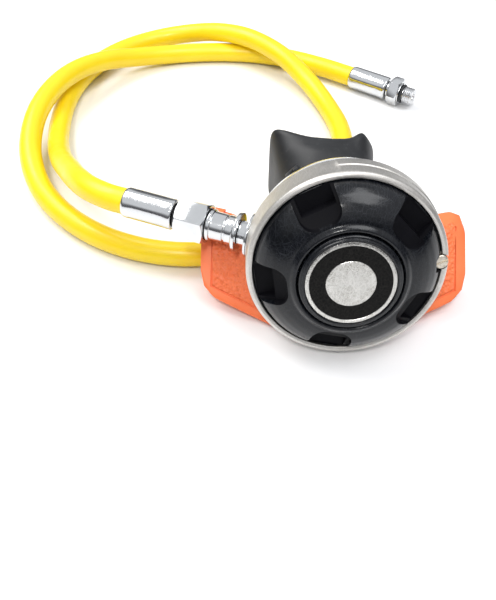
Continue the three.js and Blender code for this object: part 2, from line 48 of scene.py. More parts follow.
SEAT_CENTRE = (0, 32.5, -22.5)
RING_RADIUS = 38.0
LIP_RADIUS = 35.5
RING_DEPTH = 13.9
CASE_RADIUS = 36.1
COVER_RISE = 10.8
PORT_ANGLES = [math.radians(45 + 72 * i) for i in range(5)]
PORT_INNER = 22.9  # radius where each port closes
BAND_INNER = 9.2  # the label's dark band
BAND_OUTER = 15.2
SCREW_ANGLE = math.radians(6)
SCREW_CENTRE = 34.9
HOSE_RADIUS = 5.6
NECK_HEIGHT = 5.0

# Head space: millimetres, front -Y, up +Z, the case axis on Y.
HEAD = (Matrix.Translation((0, -FRONT_TO_REST * MM, HEAD_HEIGHT * MM))
        @ Matrix.Rotation(-HEAD_TILT, 4, "X") @ Matrix.Scale(MM, 4))
SHELF = Matrix.Translation((0, -FRONT_TO_REST * MM, 0)) @ Matrix.Scale(MM, 4)


def basis(side, along, up, origin):
    """Matrix whose columns are three directions and a place."""
    matrix = Matrix.Identity(4)
    for column, vector in enumerate((side, along, up, origin)):
        for row in range(3):
            matrix[row][column] = vector[row]
    return matrix


def inlet_matrix():
    """Inlet space: +Y runs out of the case along the hose fittings."""
    along = Vector((-1, math.tan(INLET_SWEEP), math.tan(INLET_RISE))).normalized()
    up = (Vector((0, 0, 1)) - along * along.z).normalized()
    return HEAD @ basis(along.cross(up), along, up, Vector((0, 13, -3.1)))


def seat_matrix():
    """Exhaust seat space: +Y points out of the case, square to the valve."""
    along = Vector((0, math.sin(SEAT_TILT), -math.cos(SEAT_TILT)))
    side = Vector((1, 0, 0))
    return HEAD @ basis(side, along, side.cross(along), Vector(SEAT_CENTRE))


INLET = inlet_matrix()
SEAT = seat_matrix()

# ---------------------------------------------------------------- camera


def make_camera():
    data = bpy.data.cameras.new("camera")
    data.sensor_fit = "VERTICAL"
    data.sensor_height = 24
    data.lens = 27.8
    camera = bpy.data.objects.new("camera", data)
    bpy.context.scene.collection.objects.link(camera)
    forward = Vector((0.0181, 0.6906, -0.7230)).normalized()
    up = Vector((-0.0170, 0.7232, 0.6904))
    right = forward.cross(up).normalized()
    up = right.cross(forward)
    place = Vector((-41.54, -188.08 - FRONT_TO_REST, 220.0)) * MM
    camera.matrix_world = basis(right, up, -forward, place)
    bpy.context.scene.camera = camera


make_camera()

# ---------------------------------------------------------------- node materials


class Nodes:
    """Short hand for building one procedural material."""

    def __init__(self, name):
        self.material = bpy.data.materials.new(name)
        self.material.use_nodes = True
        self.tree = self.material.node_tree
        self.shader = self.tree.nodes["Principled BSDF"]
        self.place = self.tree.nodes.new("ShaderNodeTexCoord").outputs["Object"]

    def add(self, kind, **settings):
        node = self.tree.nodes.new("ShaderNode" + kind)
        for key, value in settings.items():
            setattr(node, key, value)
        return node

    def link(self, out, socket):
        self.tree.links.new(out, socket)

    def set(self, **values):
        for key, value in values.items():
            self.shader.inputs[key.replace("_", " ")].default_value = value

    def noise(self, scale, detail=4.0, roughness=0.55, stretch=None, place=None):
        node = self.add("TexNoise")
        node.inputs["Scale"].default_value = scale
        node.inputs["Detail"].default_value = detail
        node.inputs["Roughness"].default_value = roughness
        source = place or self.place
        if stretch:
            mapping = self.add("Mapping")
            mapping.inputs["Scale"].default_value = stretch
            mapping.inputs["Rotation"].default_value = (0.5, 0.3, 0.8)
            self.link(source, mapping.inputs["Vector"])
            source = mapping.outputs["Vector"]
        self.link(source, node.inputs["Vector"])
        return node.outputs["Fac"]

    def cells(self, scale, feature="F1", randomness=1.0):
        node = self.add("TexVoronoi", feature=feature)
        node.inputs["Scale"].default_value = scale
        node.inputs["Randomness"].default_value = randomness
        self.link(self.place, node.inputs["Vector"])
        return node.outputs["Distance"]

    def ramp(self, fac, *stops):
        """Colour ramp from (position, colour or grey) stops."""
        node = self.add("ValToRGB")
        elements = node.color_ramp.elements
        while len(elements) < len(stops):
            elements.new(0.5)
        for element, (position, value) in zip(elements, stops):
            element.position = position
            grey = isinstance(value, (int, float))
            element.color = (value, value, value, 1) if grey else (*value, 1)
        self.link(fac, node.inputs["Fac"])
        return node.outputs["Color"]

    def span(self, fac, low, high, first=0.0, last=1.0):
        """Value mapped from first..last to low..high, held at the ends."""
        node = self.add("MapRange")
        for key, value in (("From Min", first), ("From Max", last), ("To Min", low), ("To Max", high)):
            node.inputs[key].default_value = value
        self.link(fac, node.inputs["Value"])
        return node.outputs["Result"]

    def mix(self, fac, first, second, blend="MIX"):
        node = self.add("Mix", data_type="RGBA", blend_type=blend)
        for socket, value in ((0, fac), (6, first), (7, second)):
            if isinstance(value, (int, float)):
                node.inputs[socket].default_value = value
            elif isinstance(value, tuple):
                node.inputs[socket].default_value = (*value, 1)
            else:
                self.link(value, node.inputs[socket])
        return node.outputs[2]

    def math(self, operation, first, second=0.0):
        node = self.add("Math", operation=operation)
        for socket, value in zip(node.inputs, (first, second)):
            if isinstance(value, (int, float)):
                socket.default_value = value
            else:
                self.link(value, socket)
        return node.outputs[0]

    def bump(self, *layers):
        """Stack of (height, strength, distance in metres)."""
        normal = None
        for height, strength, distance in layers:
            node = self.add("Bump")
            node.inputs["Strength"].default_value = strength
            node.inputs["Distance"].default_value = distance
            self.link(height, node.inputs["Height"])
            if normal:
                self.link(normal, node.inputs["Normal"])
            normal = node.outputs["Normal"]
        self.link(normal, self.shader.inputs["Normal"])

    def colour(self, out):
        self.link(out, self.shader.inputs["Base Color"])

    def roughness(self, out):
        self.link(out, self.shader.inputs["Roughness"])

    def scratches(self, scale, width, seed=0.0):
        """Thin random lines: 1 on a scratch, 0 off it."""
        lines = None
        for turn in (0.35, 1.4, 2.5):
            mapping = self.add("Mapping")
            mapping.inputs["Rotation"].default_value = (turn * 0.7, turn + seed, turn * 1.3)
            mapping.inputs["Location"].default_value = (seed, turn, seed * 2)
            mapping.inputs["Scale"].default_value = (scale, scale * 0.09, scale)
            self.link(self.place, mapping.inputs["Vector"])
            node = self.add("TexVoronoi", feature="DISTANCE_TO_EDGE")
            node.inputs["Scale"].default_value = 1.0
            self.link(mapping.outputs["Vector"], node.inputs["Vector"])
            line = self.span(node.outputs["Distance"], 1.0, 0.0, 0.0, width)
            lines = self.math("MAXIMUM", lines, line) if lines else line
        return lines


def polar(nodes, matrix):
    """Radius, angle and depth of the shaded point about a turned part's own Y axis."""
    location, rotation, scale = matrix.inverted().decompose()
    mapping = nodes.add("Mapping")
    mapping.inputs["Location"].default_value = location
    mapping.inputs["Rotation"].default_value = rotation.to_euler("XYZ")
    mapping.inputs["Scale"].default_value = scale
    nodes.link(nodes.place, mapping.inputs["Vector"])
    split = nodes.add("SeparateXYZ")
    nodes.link(mapping.outputs["Vector"], split.inputs["Vector"])
    x, y, z = split.outputs
    radius = nodes.math("SQRT", nodes.math("ADD", nodes.math("MULTIPLY", x, x), nodes.math("MULTIPLY", z, z)))
    return radius, nodes.math("ARCTAN2", z, x), y


def brushed_lines(nodes, matrix, rings=9.0, sweep=2.0):
    """Noise drawn out into circles about the part's axis."""
    radius, angle, depth = polar(nodes, matrix)
    join = nodes.add("CombineXYZ")
    nodes.link(nodes.math("MULTIPLY", radius, rings), join.inputs[0])
    nodes.link(nodes.math("MULTIPLY", angle, sweep), join.inputs[1])
    nodes.link(nodes.math("MULTIPLY", depth, rings), join.inputs[2])
    return nodes.noise(1.0, 5.0, 0.6, place=join.outputs["Vector"])


def chrome_material(name="chrome", tint=(0.68, 0.69, 0.70), low=0.04, high=0.12):
    n = Nodes(name)
    n.set(Metallic=1.0, Specular_IOR_Level=0.5)
    wear = n.noise(160, 6)
    fine = n.scratches(900, 0.03)
    n.colour(n.mix(n.span(wear, 0.0, 0.5, 0.55, 0.8), tint, tuple(c * 0.82 for c in tint)))
    n.roughness(n.math("ADD", n.span(wear, low, high, 0.3, 0.75), n.math("MULTIPLY", fine, 0.12)))
    n.bump((n.noise(900, 3), 0.03, 0.0002), (fine, 0.05, 0.00005))
    return n.material


def ring_material():
    n = Nodes("satin_ring")
    n.set(Metallic=1.0)
    lines = brushed_lines(n, HEAD)
    blotch = n.noise(90, 5)
    base = n.mix(n.span(lines, 0.0, 1.0, 0.3, 0.7), (0.52, 0.50, 0.47), (0.64, 0.62, 0.585))
    worn = n.mix(n.span(blotch, 0.0, 0.6, 0.55, 0.75), base, (0.38, 0.36, 0.335))
    scratch = n.scratches(500, 0.03, 1.7)
    n.colour(n.mix(n.math("MULTIPLY", scratch, 0.35), worn, (0.85, 0.84, 0.82)))
    n.roughness(n.span(blotch, 0.38, 0.50, 0.3, 0.7))
    n.bump((lines, 0.10, 0.0001), (n.noise(1500, 2), 0.06, 0.0001))
    return n.material


def gloss_black_material():
    n = Nodes("gloss_black")
    n.set(Coat_Weight=0.12, Coat_Roughness=0.10, IOR=1.5, Specular_IOR_Level=0.3)
    smudge = n.noise(75, 6, 0.65)
    grain = n.noise(1700, 3)
    scuff = n.scratches(420, 0.022, 0.4)
    dust = n.span(n.noise(2600, 2), 0.0, 1.0, 0.64, 0.74)
    base = n.mix(n.span(smudge, 0.0, 1.0, 0.35, 0.75), (0.0015, 0.002, 0.003), (0.005, 0.006, 0.009))
    marked = n.mix(n.math("MULTIPLY", scuff, 0.05), base, (0.22, 0.24, 0.28))
    n.colour(n.mix(n.math("MULTIPLY", dust, 0.025), marked, (0.25, 0.26, 0.28)))
    rough = n.math("ADD", n.span(smudge, 0.13, 0.26, 0.3, 0.75), n.math("MULTIPLY", scuff, 0.10))
    n.roughness(rough)
    n.bump((grain, 0.22, 0.0001), (n.noise(260, 4), 0.10, 0.0004), (scuff, 0.04, 0.00004))
    return n.material


# Painted shade: a duller, barely reflective black for the faces inside the purge cover's ports, so they look
# like deep hollows.
def port_shade_material():
    n = Nodes("port_painted_shade")
    n.set(IOR=1.45, Specular_IOR_Level=0.08)
    cloud = n.noise(150, 5)
    n.colour(n.mix(cloud, (0.0015, 0.0015, 0.002), (0.005, 0.005, 0.007)))
    n.roughness(n.span(cloud, 0.45, 0.6, 0.3, 0.7))
    n.bump((n.noise(1500, 3), 0.12, 0.0001))
    return n.material


def matte_black_material():
    n = Nodes("matte_black")
    n.set(IOR=1.45)
    cloud = n.noise(120, 5)
    n.colour(n.mix(cloud, (0.012, 0.013, 0.015), (0.028, 0.030, 0.033)))
    n.roughness(n.span(cloud, 0.42, 0.60, 0.3, 0.7))
    n.bump((n.noise(1800, 3), 0.15, 0.0001))
    return n.material


def silicone_material():
    n = Nodes("black_silicone")
    n.set(IOR=1.42, Sheen_Weight=0.05, Sheen_Roughness=0.5)
    cloud = n.noise(60, 6, 0.6)
    chalk = n.noise(420, 5, 0.7)
    base = n.mix(n.span(cloud, 0.0, 1.0, 0.3, 0.7), (0.006, 0.0065, 0.008), (0.016, 0.017, 0.019))
    n.colour(n.mix(n.span(chalk, 0.0, 0.35, 0.6, 0.8), base, (0.09, 0.093, 0.097)))
    n.roughness(n.span(cloud, 0.36, 0.52, 0.3, 0.7))
    n.bump((n.noise(1500, 3), 0.12, 0.00012), (cloud, 0.08, 0.0008))
    return n.material


def orange_material(name, pebble):
    n = Nodes(name)
    n.set(IOR=1.46, Subsurface_Weight=0.06, Subsurface_Scale=0.004)
    n.set(Subsurface_Radius=(1.0, 0.35, 0.15))
    cloud = n.noise(70, 5)
    grain = n.cells(780, "SMOOTH_F1")
    base = n.mix(n.span(cloud, 0.0, 1.0, 0.3, 0.7), (0.84, 0.155, 0.042), (0.90, 0.205, 0.068))
    if pebble:
        base = n.mix(n.span(grain, 0.0, 0.35, 0.25, 0.7), base, (0.70, 0.105, 0.026))
    n.colour(base)
    n.roughness(n.span(cloud, 0.40, 0.52, 0.3, 0.7))
    if pebble:
        n.bump((grain, 1.0, 0.0009), (n.noise(2600, 3), 0.10, 0.0001))
    else:
        n.bump((n.noise(1400, 4), 0.12, 0.0001))
    return n.material


def hose_material():
    n = Nodes("yellow_hose")
    n.set(IOR=1.5, Subsurface_Weight=0.05, Subsurface_Scale=0.003)
    n.set(Subsurface_Radius=(1.0, 0.8, 0.2))
    cloud = n.noise(30, 5)
    fine = n.noise(900, 4)
    grime = n.noise(240, 6, 0.7)
    base = n.mix(n.span(cloud, 0.0, 1.0, 0.3, 0.7), (0.84, 0.60, 0.006), (0.88, 0.67, 0.010))
    n.colour(n.mix(n.span(grime, 0.0, 0.45, 0.64, 0.86), base, (0.55, 0.38, 0.015)))
    n.roughness(n.span(n.noise(140, 4), 0.28, 0.42, 0.3, 0.7))
    n.bump((fine, 0.10, 0.0001), (cloud, 0.10, 0.0008))
    return n.material


def label_material():
    n = Nodes("label_metal")
    n.set(Metallic=1.0)
    haze = n.noise(150, 6, 0.7)
    stain = n.noise(420, 5, 0.7)
    wide = n.scratches(330, 0.06, 0.9)
    fine = n.scratches(1100, 0.07, 2.1)
    base = n.mix(n.span(haze, 0.0, 1.0, 0.35, 0.7), (0.30, 0.29, 0.265), (0.56, 0.55, 0.52))
    dull = n.mix(n.span(stain, 0.0, 0.75, 0.55, 0.75), base, (0.25, 0.235, 0.20))
    n.colour(n.mix(n.math("MULTIPLY", n.math("MAXIMUM", wide, fine), 0.4), dull, (0.95, 0.94, 0.92)))
    n.roughness(n.span(haze, 0.16, 0.40, 0.3, 0.7))
    n.bump((wide, 0.25, 0.00008), (fine, 0.15, 0.00004), (stain, 0.10, 0.0001))
    return n.material


def label_black_material():
    n = Nodes("label_black")
    n.set(IOR=1.5, Specular_IOR_Level=0.10)
    scratch = n.scratches(700, 0.05, 1.3)
    haze = n.noise(200, 5)
    base = n.mix(haze, (0.001, 0.001, 0.001), (0.003, 0.003, 0.003))
    n.colour(n.mix(n.math("MULTIPLY", scratch, 0.10), base, (0.12, 0.11, 0.10)))
    n.roughness(n.span(haze, 0.25, 0.5, 0.3, 0.7))
    n.bump((scratch, 0.2, 0.00005))
    return n.material


def bronze_material():
    n = Nodes("nickel_screw")
    n.set(Metallic=1.0)
    patina = n.noise(700, 6, 0.7)
    n.colour(n.ramp(patina, (0.3, (0.30, 0.26, 0.20)), (0.5, (0.62, 0.57, 0.49)), (0.8, (0.80, 0.76, 0.68))))
    n.roughness(n.span(patina, 0.25, 0.5, 0.3, 0.7))
    n.bump((patina, 0.35, 0.0002))
    return n.material


def steel_material():
    n = Nodes("bright_steel")
    n.set(Metallic=1.0)
    grain = n.noise(500, 5, stretch=(1, 6, 1))
    n.colour(n.mix(grain, (0.55, 0.55, 0.56), (0.74, 0.75, 0.76)))
    n.roughness(n.span(grain, 0.18, 0.34, 0.3, 0.7))
    n.bump((grain, 0.08, 0.0001))
    return n.material


def milky_material():
    n = Nodes("milky_silicone")
    n.set(IOR=1.41, Subsurface_Weight=0.3, Subsurface_Scale=0.003)
    cloud = n.noise(200, 5)
    n.colour(n.mix(cloud, (0.50, 0.49, 0.44), (0.66, 0.65, 0.60)))
    n.roughness(n.span(cloud, 0.35, 0.5, 0.3, 0.7))
    n.bump((n.noise(900, 3), 0.10, 0.0001))
    return n.material


def white_plastic_material():
    n = Nodes("white_plastic")
    cloud = n.noise(260, 5)
    n.colour(n.mix(cloud, (0.74, 0.73, 0.69), (0.84, 0.83, 0.80)))
    n.roughness(n.span(cloud, 0.35, 0.5, 0.3, 0.7))
    n.bump((n.noise(1400, 3), 0.12, 0.0001))
    return n.material


CHROME = chrome_material()
RING = ring_material()
GLOSS = gloss_black_material()
PORT_SHADE = port_shade_material()
MATTE = matte_black_material()
SILICONE = silicone_material()
ORANGE = orange_material("orange_border", False)
ORANGE_PEBBLE = orange_material("orange_pebble", True)
YELLOW = hose_material()
LABEL = label_material()
LABEL_BLACK = label_black_material()
BRONZE = bronze_material()
STEEL = steel_material()
MILKY = milky_material()
WHITE = white_plastic_material()

# ---------------------------------------------------------------- mesh helpers


def new_object(name, mesh, materials, body, nodes=()):
    for material in materials:
        mesh.materials.append(material)
    piece = bpy.data.objects.new(name, mesh)
    bpy.context.scene.collection.objects.link(piece)
    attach(piece, body)
    if nodes:
        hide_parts(*nodes)
    return piece


def raw(name, verts, faces, matrix=None):
    """Loose object used while shaping; finished() turns it into a piece."""
    mesh = bpy.data.meshes.new(name)
    points = [matrix @ Vector(v) for v in verts] if matrix else verts
    mesh.from_pydata(points, [], faces)
    build = bmesh.new()
    build.from_mesh(mesh)
    bmesh.ops.remove_doubles(build, verts=build.verts, dist=1e-7)
    bmesh.ops.recalc_face_normals(build, faces=build.faces)
    build.to_mesh(mesh)
    build.free()
    obj = bpy.data.objects.new(name, mesh)
    bpy.context.scene.collection.objects.link(obj)
    return obj


def bake(obj):
    """Applies every modifier on a shaping object."""
    bpy.context.view_layer.update()
    view = bpy.context.evaluated_depsgraph_get()
    mesh = bpy.data.meshes.new_from_object(obj.evaluated_get(view))
    old = obj.data
    obj.modifiers.clear()
    obj.data = mesh
    bpy.data.meshes.remove(old)


def combine(target, tool, operation):
    modifier = target.modifiers.new("boolean", "BOOLEAN")
    modifier.operation = operation
    modifier.solver = "EXACT"
    modifier.object = tool
    bake(target)
    bpy.data.objects.remove(tool)
    return target


def carve(target, tool):
    return combine(target, tool, "DIFFERENCE")


def unite(target, tool):
    return combine(target, tool, "UNION")


def soften(obj, width, segments=3, angle=30):
    modifier = obj.modifiers.new("bevel", "BEVEL")
    modifier.width = width * MM
    modifier.segments = segments
    modifier.limit_method = "ANGLE"
    modifier.angle_limit = math.radians(angle)
    modifier.use_clamp_overlap = True
    modifier.harden_normals = False
    bake(obj)
    return obj


def finished(obj, name, materials, body, nodes=(), sharp=32):
    """Makes a shaped object into a piece with smooth faces."""
    mesh = obj.data
    bpy.data.objects.remove(obj)
    mesh.materials.clear()
    piece = new_object(name, mesh, materials, body, nodes)
    mesh.polygons.foreach_set("use_smooth", [True] * len(mesh.polygons))
    mesh.set_sharp_from_angle(angle=math.radians(sharp))
    return piece


def rounded(profile, radius, steps=4, closed=False):
    """Profile with each corner rounded by an arc-like blend of the given reach."""
    points = [Vector(p) for p in profile]
    count = len(points)
    result = []
    for i, here in enumerate(points):
        if not closed and i in (0, count - 1):
            result.append(tuple(here))
            continue
        before = points[i - 1] - here
        after = points[(i + 1) % count] - here
        reach = min(radius, before.length * 0.45, after.length * 0.45)
        first = here + before.normalized() * reach
        last = here + after.normalized() * reach
        for step in range(steps + 1):
            t = step / steps
            result.append(tuple(first * (1 - t) ** 2 + here * 2 * t * (1 - t) + last * t * t))
    return result


def turned(name, profile, matrix, segments=96, closed=None, warp=None):
    """Solid turned about Y from (radius, y) pairs. warp(r, y, angle) may bend the radius."""
    if closed is None:
        closed = profile[0][0] > 1e-6
    count = len(profile)
    verts, faces, rows = [], [], []
    for radius, y in profile:
        if radius < 1e-6:
            rows.append([len(verts)] * segments)
            verts.append((0, y, 0))
            continue
        rows.append(list(range(len(verts), len(verts) + segments)))
        for j in range(segments):
            angle = 2 * math.pi * j / segments
            r = warp(radius, y, angle) if warp else radius
            verts.append((r * math.cos(angle), y, r * math.sin(angle)))
    for i in range(count if closed else count - 1):
        low, high = rows[i], rows[(i + 1) % count]
        for j in range(segments):
            k = (j + 1) % segments
            corners = []
            for corner in (low[j], low[k], high[k], high[j]):
                if corner not in corners:
                    corners.append(corner)
            if len(corners) > 2:
                faces.append(corners)
    return raw(name, verts, faces, matrix)


def prism(name, outline, low, high, matrix):
    """Prism along Y over an outline in X and Z."""
    count = len(outline)
    verts = [(x, low, z) for x, z in outline] + [(x, high, z) for x, z in outline]
    faces = [list(range(count)), list(range(2 * count - 1, count - 1, -1))]
    faces += [[i, (i + 1) % count, count + (i + 1) % count, count + i] for i in range(count)]
    return raw(name, verts, faces, matrix)


def box(name, size, centre, matrix, rotation=Matrix.Identity(4)):
    x, y, z = (s / 2 for s in size)
    corners = [(a, b, c) for a in (-x, x) for b in (-y, y) for c in (-z, z)]
    faces = [(0, 1, 3, 2), (4, 6, 7, 5), (0, 4, 5, 1), (2, 3, 7, 6), (0, 2, 6, 4), (1, 5, 7, 3)]
    return raw(name, corners, faces, matrix @ Matrix.Translation(centre) @ rotation)


def skin(name, rings, matrix, closed=False, caps=True):
    """Surface over rings of points with equal counts."""
    count = len(rings[0])
    verts = [p for ring in rings for p in ring]
    faces = []
    spans = len(rings) if closed else len(rings) - 1
    for i in range(spans):
        here, there = i * count, ((i + 1) % len(rings)) * count
        for j in range(count):
            k = (j + 1) % count
            faces.append((here + j, here + k, there + k, there + j))
    if caps and not closed:
        faces.append(list(range(count)))
        faces.append(list(range(len(verts) - 1, len(verts) - count - 1, -1)))
    return raw(name, verts, faces, matrix)


def chromed(obj, name, node):
    return finished(obj, name, [CHROME], "housing", [node])


# ---------------------------------------------------------------- hose, built first

# Free hose centreline from the near ferrule to the far one, as the CAD solid runs.
HOSE_ROUTE = [
    (-88.4, 44.5, 35.4), (-95.4, 47.1, 35.5), (-104.5, 53.7, 34.5), (-111.6, 63.2, 31.6),
    (-120.2, 80.5, 24.8), (-129, 101, 16.2), (-136, 123.5, 9.5), (-140, 147, 6.5), (-141, 171, 6),
    (-138, 195, 6), (-129, 219, 6), (-114.5, 239, 6), (-96, 251, 7),
    (-75, 252.5, 10.5), (-54, 243.5, 16), (-34.5, 230.5, 18.5), (-15.5, 214, 16),
    (-0.5, 195.5, 10), (9.5, 174, 6.5), (15, 150.5, 6), (15, 126, 6),
    (10, 102.5, 6), (-1, 80.5, 6), (-17, 62.5, 6), (-37, 50, 6),
    (-59.5, 44.5, 6), (-82.5, 46.5, 6), (-104.5, 55.5, 6), (-124.5, 71.5, 6),
    (-139.5, 91.5, 7), (-148.5, 115, 11), (-150, 139.5, 16), (-145.5, 163.5, 18.5),
    (-136, 186.5, 18), (-123, 205.5, 14.5), (-107, 220.5, 9.5), (-87, 231, 6.5),
    (-64, 236, 6), (-39, 236.5, 6), (-15, 231, 6.5), (7.5, 219.5, 7.2), (27.7, 206, 7.6),
]


def centripetal(points, per_span=8):
    """Smooth curve through the points, with knots spaced by the root of the distance."""
    ends = [points[0] * 2 - points[1]] + points + [points[-1] * 2 - points[-2]]
    curve = []
    for i in range(1, len(ends) - 2):
        p = ends[i - 1:i + 3]
        knots = [0.0]
        for a, b in zip(p, p[1:]):
            knots.append(knots[-1] + math.sqrt((b - a).length))
        for step in range(per_span):
            t = knots[1] + (knots[2] - knots[1]) * step / per_span
            line = [((knots[k + 1] - t) * p[k] + (t - knots[k]) * p[k + 1]) / (knots[k + 1] - knots[k])
                    for k in range(3)]
            bend = [((knots[k + 2] - t) * line[k] + (t - knots[k]) * line[k + 1])
                    / (knots[k + 2] - knots[k]) for k in range(2)]
            curve.append(((knots[2] - t) * bend[0] + (t - knots[1]) * bend[1]) / (knots[2] - knots[1]))
    return curve + [points[-1]]


def make_hose():
    path = centripetal([SHELF @ Vector(p) for p in HOSE_ROUTE])
    data = bpy.data.curves.new("hose_tube", "CURVE")
    data.dimensions = "3D"
    data.bevel_depth = HOSE_RADIUS * MM
    data.bevel_resolution = 9
    data.use_fill_caps = True
    spline = data.splines.new("POLY")
    spline.points.add(len(path) - 1)
    for point, place in zip(spline.points, path):
        point.co = (*place, 1)
    spline.use_smooth = True
    data.materials.append(YELLOW)
    piece = bpy.data.objects.new("hose_tube", data)
    bpy.context.scene.collection.objects.link(piece)
    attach(piece, "housing")
    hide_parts("hose")
    length = sum((b - a).length for a, b in zip(path, path[1:]))
    return piece, path, length


def round_ferrule(start, end, radius=6.5):
    """Profile of a crimped sleeve with plain collars at both ends; crimp() presses the shallow flats between
    them.
    """
    profile = rounded([
        (3.4, start), (radius - 0.5, start), (radius, start + 0.7), (radius, end - 0.9),
        (radius - 0.35, end), (5.62, end), (5.62, end - 2.2), (3.4, end - 2.2),
    ], 0.35, closed=True)
    dense = []
    for (r0, y0), (r1, y1) in zip(profile, profile[1:] + profile[:1]):
        steps = max(1, int(abs(y1 - y0) / 1.2))
        dense += [(r0 + (r1 - r0) * s / steps, y0 + (y1 - y0) * s / steps) for s in range(steps)]
    return dense


def crimp(start, end):
    middle = (start + end) / 2
    half = (end - start) / 2

    def warp(radius, y, angle):
        if radius < 6:
            return radius
        band = max(0.0, 1 - ((y - middle) / (half * 0.78)) ** 8)
        return radius - 0.11 * band * (0.5 + 0.5 * math.cos(8 * angle))
    return warp


def far_matrix():
    along = Vector((0.832, -0.555, 0)).normalized()
    up = Vector((0, 0, 1))
    origin = Vector(HOSE_ROUTE[-1]) + along * 0.3
    return SHELF @ basis(along.cross(up), along, up, origin)


FAR = far_matrix()


def threaded(name, radius, depth, pitch, start, end, matrix, bore):
    """Screw thread cut on a hollow stud, with its end chamfered."""
    around, per_pitch = 64, 8
    rows = int((end - start) / pitch * per_pitch)
    rings = []
    for i in range(rows + 1):
        y = start + (end - start) * i / rows
        ease = min(1.0, (end - y) / 0.9 + 0.1, (y - start) / 0.5 + 0.2)
        ring = []
        for j in range(around):
            angle = 2 * math.pi * j / around
            phase = (y / pitch - angle / (2 * math.pi)) % 1.0
            r = radius - depth * (1 - ease * (1 - abs(2 * phase - 1)))
            ring.append((r * math.cos(angle), y, r * math.sin(angle)))
        rings.append(ring)
    for r, y in ((bore + 0.3, end), (bore, end - 0.3), (bore, start)):
        rings.append([(r * math.cos(2 * math.pi * j / around), y,
                       r * math.sin(2 * math.pi * j / around)) for j in range(around)])
    return skin(name, rings, matrix, closed=True)


def hexagon(name, flats, start, end, bore, matrix, turn=0.0, bevel=0.18):
    """Chamfered hexagon along Y with a hole through it."""
    radius = flats / math.sqrt(3)
    corner = (radius - flats / 2) * 0.62
    outline = [(radius * math.sin(turn + k * math.pi / 3), radius * math.cos(turn + k * math.pi / 3))
               for k in range(6)]
    nut = prism(name, outline, start, end, matrix)
    cone = turned("cone", [
        (0, start), (flats / 2 - 0.1, start), (radius + 0.1, start + corner + 0.2),
        (radius + 0.1, end - corner - 0.2), (flats / 2 - 0.1, end), (0, end),
    ], matrix, 96)
    combine(nut, cone, "INTERSECT")
    hole = turned("hole", [(0, start - 5), (bore, start - 5), (bore, end + 5), (0, end + 5)], matrix, 64)
    carve(nut, hole)
    return soften(nut, bevel, 2, 25)


def make_far_end():
    """Ferrule, hexagon, ring seal and thread at the hose's free end."""
    sleeve = turned("far_sleeve_shape", round_ferrule(0, 24), FAR, 96, True,
                    lambda r, y, a: crimp(0, 24)(r, 24 - y, a))
    sleeve = turned_sleeve_flip(sleeve, 24)
    pieces = [chromed(sleeve, "far_sleeve", "far_ferrule")]
    hex_part = hexagon("far_hex_shape", 14.3, 26, 32.4, 2.0, FAR, math.pi / 6)
    neck = turned("far_neck_shape", rounded([
        (1.9, 24.3), (4.6, 24.3), (4.6, 26.6), (5.9, 31.8), (5.9, 32.9), (4.05, 32.9),
        (4.05, 34.9), (1.9, 34.9),
    ], 0.3, closed=True), FAR, 96, True)
    stud = threaded("far_thread_shape", 4.76, 0.5, 1.058, 34.8, 40.5, FAR, 1.8)
    pieces.append(chromed(hex_part, "far_hexagon", "first_stage_fitting"))
    pieces.append(chromed(neck, "far_neck", "first_stage_fitting"))
    pieces.append(finished(stud, "far_thread", [STEEL], "housing",
                           ["first_stage_fitting"], sharp=50))
    pieces.append(finished(o_ring("far_seal_shape", 4.75, 0.72, 33.85, FAR), "far_seal", [MATTE],
                           "housing", ["first_stage_o_ring"], sharp=180))
    return pieces


def turned_sleeve_flip(sleeve, length):
    """Turns a sleeve end for end along its own axis, so its hose mouth faces the hose."""
    flip = FAR @ Matrix.Translation((0, length, 0)) @ Matrix.Rotation(math.pi, 4, "X") @ FAR.inverted()
    sleeve.data.transform(flip)
    return sleeve


def o_ring(name, centre_radius, thickness, y, matrix):
    profile = [(centre_radius + thickness * math.cos(a), y + thickness * math.sin(a))
               for a in (2 * math.pi * k / 20 for k in range(20))]
    return turned(name, profile, matrix, 72, True)


hose, hose_path, hose_length = make_hose()
far_pieces = make_far_end()

# ---------------------------------------------------------------- inlet fittings


